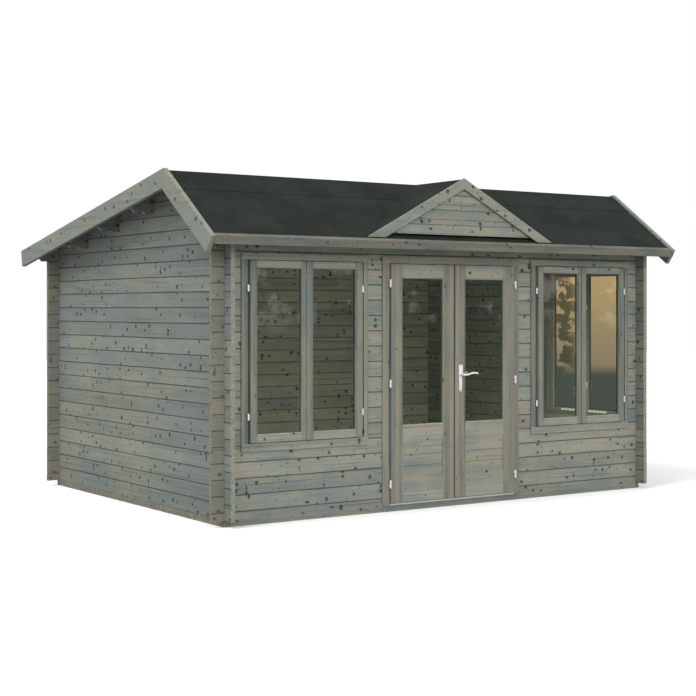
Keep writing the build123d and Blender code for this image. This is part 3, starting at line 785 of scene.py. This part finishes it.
studio = {
    "cameraPlace": (-6.8145, -10.550, 1.5186),
    "cameraTurn": -35.0,
    "lens": 75.565,
    "sensor": 36.0,
    "shift": (-0.0718, -0.0561),
    "ambient": (0.97, 0.985, 1.0, 1.0),
    "ambientStrength": 0.95,
    "backdrop": (1.0, 1.0, 1.0, 1.0),
    "backdropStrength": 1.0,
    "sunColour": (1.0, 0.98, 0.95),
    "lamps": {
        "frontLamp": {"power": 1.22, "spread": 30, "turn": (63, 0, -12)},
        "leftLamp": {"power": 1.75, "spread": 30, "turn": (38, 0, -85)},
    },
    "roomPlace": (0.0, -1.40, 0.65),
    "roomTurn": (90, 0, 0),
    "roomSize": (3.4, 0.9),
    "roomPower": 42,
    "roomColour": (1.0, 0.97, 0.90),
    "floorSize": 60,
    "floorSeen": (0.95, 0.95, 0.95, 1),
    "floorLit": (0.42, 0.42, 0.41, 1),
    "floorRoughness": 0.9,
}


def makeWorld():
    world = bpy.data.worlds.new("studioWorld")
    world.use_nodes = True
    tree = world.node_tree
    tree.nodes.clear()
    path = addNode(tree, "ShaderNodeLightPath").outputs
    direction = addNode(tree, "ShaderNodeTexCoord").outputs["Generated"]
    across, _, height = addNode(tree, "ShaderNodeSeparateXYZ", {"Vector": direction}).outputs
    layers = [addNode(tree, "ShaderNodeBackground", {"Color": tone, "Strength": strength})
              for tone, strength in (
                  (studio["ambient"], studio["ambientStrength"]),
                  (gardenColour(tree, direction, height), garden["strength"]),
                  (eveningColour(tree, direction, across, height), evening["strength"]),
                  (studio["backdrop"], studio["backdropStrength"]))]
    glazed = behindGlass(tree, path)
    amounts = (path["Is Glossy Ray"], glazed, minus(tree, path["Is Camera Ray"], glazed))
    seen = layers[0]
    for amount, layer in zip(amounts, layers[1:]):
        seen = addNode(tree, "ShaderNodeMixShader", {0: amount, 1: seen.outputs[0], 2: layer.outputs[0]})
    output = addNode(tree, "ShaderNodeOutputWorld")
    tree.links.new(seen.outputs[0], output.inputs["Surface"])
    bpy.context.scene.world = world


def makeFloor():
    startFresh()
    bpy.ops.mesh.primitive_plane_add(size=studio["floorSize"], location=(0, 0, 0))
    floor = bpy.context.object
    floor.name = "studioFloor"
    material, tree, output = startMaterial("paleFloor")
    path = addNode(tree, "ShaderNodeLightPath").outputs
    tone = mixColours(tree, path["Is Camera Ray"], studio["floorLit"], studio["floorSeen"])
    plain = addNode(tree, "ShaderNodeBsdfPrincipled", {
        "Base Color": tone, "Roughness": studio["floorRoughness"], "Specular IOR Level": 0.0})
    clear = addNode(tree, "ShaderNodeBsdfTransparent")
    away = maths(tree, "MAXIMUM", path["Is Glossy Ray"], behindGlass(tree, path))
    shader = addNode(tree, "ShaderNodeMixShader", {0: away, 1: plain.outputs[0], 2: clear.outputs[0]})
    tree.links.new(shader.outputs[0], output.inputs["Surface"])
    floor.data.materials.append(material)


def placeLamp(name, data, turn, location=(0, 0, 0)):
    holder = bpy.data.objects.new(name, data)
    holder.location = location
    holder.rotation_euler = [math.radians(angle) for angle in turn]
    bpy.context.scene.collection.objects.link(holder)
    return holder


def makeLamps():
    for name, lamp in studio["lamps"].items():
        sun = bpy.data.lights.new(name, "SUN")
        sun.energy = lamp["power"]
        sun.angle = math.radians(lamp["spread"])
        sun.color = studio["sunColour"]
        placeLamp(name, sun, lamp["turn"])
    room = bpy.data.lights.new("roomLamp", "AREA")
    room.shape = "RECTANGLE"
    room.size, room.size_y = studio["roomSize"]
    room.energy = studio["roomPower"]
    room.color = studio["roomColour"]
    holder = placeLamp("roomLamp", room, studio["roomTurn"], studio["roomPlace"])
    holder.visible_camera = False
    holder.visible_glossy = False


def makeCamera():
    camera = bpy.data.cameras.new("photoCamera")
    camera.lens = studio["lens"]
    camera.sensor_width = studio["sensor"]
    camera.shift_x, camera.shift_y = studio["shift"]
    viewer = bpy.data.objects.new("photoCamera", camera)
    viewer.location = studio["cameraPlace"]
    viewer.rotation_euler = (math.radians(90), 0, math.radians(studio["cameraTurn"]))   # level
    bpy.context.scene.collection.objects.link(viewer)
    bpy.context.scene.camera = viewer


makeWorld()
makeFloor()
makeLamps()
makeCamera()
bpy.context.scene.view_settings.view_transform = "Standard"
print("scene ready")
